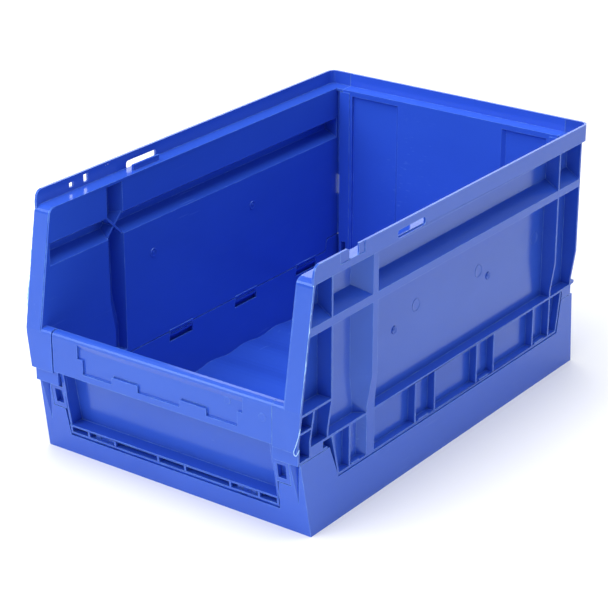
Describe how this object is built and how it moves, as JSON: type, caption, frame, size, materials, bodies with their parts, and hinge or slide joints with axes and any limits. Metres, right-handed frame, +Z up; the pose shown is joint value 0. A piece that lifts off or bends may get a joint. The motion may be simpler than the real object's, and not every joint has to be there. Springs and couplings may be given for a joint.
{
  "type": "collapsible storage crate",
  "caption": "Folding open-front storage crate with ribbed side walls, stacking rim and a low front flap with a label holder.",
  "frame": {"origin": "on the ground under the middle of the base's footprint", "axes": "+Z up, +Y towards the closed back wall, +X to the right seen from the open front"},
  "size_m": [0.3044, 0.4737, 0.2495],
  "materials": {
    "blue_plastic": "semi-gloss moulded polypropylene",
    "pin_steel": "drawn steel wire"
  },
  "bodies": {
    "base": {"base_tray": "blue_plastic", "right_side_wall": "blue_plastic", "left_side_wall": "blue_plastic", "right_hinge_pin_1": "pin_steel", "left_hinge_pin_1": "pin_steel", "right_hinge_pin_2": "pin_steel", "left_hinge_pin_2": "pin_steel", "right_hinge_pin_3": "pin_steel", "left_hinge_pin_3": "pin_steel", "right_hinge_pin_4": "pin_steel", "left_hinge_pin_4": "pin_steel", "back_hinge_pin_1": "pin_steel", "back_hinge_pin_2": "pin_steel", "back_hinge_pin_3": "pin_steel", "front_hinge_pin_1": "pin_steel", "front_hinge_pin_2": "pin_steel"},
    "back_wall": {"back_wall": "blue_plastic"},
    "front_flap": {"front_flap": "blue_plastic"}
  },
  "joints": [
    {"name": "front_flap_fold", "type": "hinge", "parent": "base", "child": "front_flap", "pos_m": [0, -0.22, 0.0253], "axis": [-1, 0, 0], "range_deg": [0, 90]},
    {"name": "back_wall_fold", "type": "hinge", "parent": "base", "child": "back_wall", "pos_m": [0, 0.2165, 0.025], "axis": [1, 0, 0], "range_deg": [0, 90]}
  ]
}
